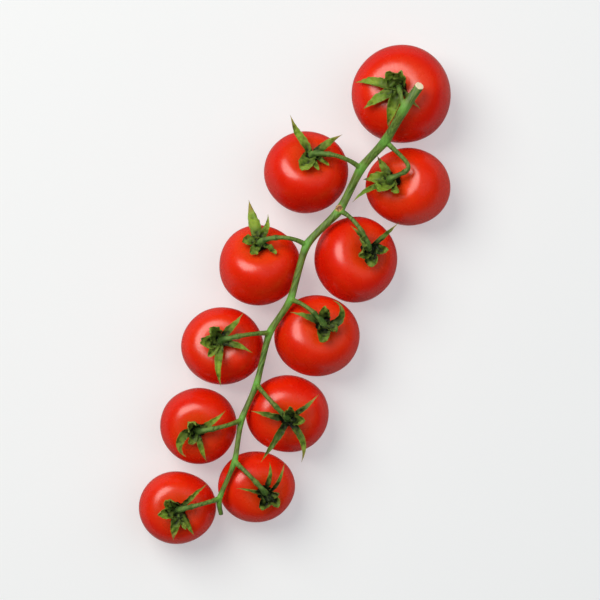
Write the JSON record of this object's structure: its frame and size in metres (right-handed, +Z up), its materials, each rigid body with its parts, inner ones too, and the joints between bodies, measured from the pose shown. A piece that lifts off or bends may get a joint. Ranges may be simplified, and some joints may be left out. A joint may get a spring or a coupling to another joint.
{
  "type": "truss of tomatoes",
  "caption": "Truss of ripe cherry tomatoes on the vine, lying flat: round fruits in two rows along one green main stem, each with its stalk and calyx.",
  "frame": {"origin": "on the table plane, under the middle of the truss's box", "axes": "+Y along the main stem from its tip to its cut end, +X to the right seen from above, +Z up"},
  "size_m": [0.0628, 0.1894, 0.037],
  "materials": {
    "tomato_skin": "smooth, taut, waxy ripe skin",
    "stem_green": "fine-haired, slightly ribbed green stem with a pale cut end",
    "calyx_green": "matt, veined sepals with drying brown tips"
  },
  "bodies": {
    "root": {"main_stem": "stem_green", "calyx_01": "calyx_green", "calyx_02": "calyx_green", "calyx_03": "calyx_green", "calyx_04": "calyx_green", "calyx_05": "calyx_green", "calyx_06": "calyx_green", "calyx_07": "calyx_green", "calyx_08": "calyx_green", "calyx_09": "calyx_green", "calyx_10": "calyx_green", "calyx_11": "calyx_green", "tomato_01": "tomato_skin", "tomato_02": "tomato_skin", "tomato_03": "tomato_skin", "tomato_04": "tomato_skin", "tomato_05": "tomato_skin", "tomato_06": "tomato_skin", "tomato_07": "tomato_skin", "tomato_08": "tomato_skin", "tomato_09": "tomato_skin", "tomato_10": "tomato_skin", "tomato_11": "tomato_skin"}
  },
  "joints": []
}
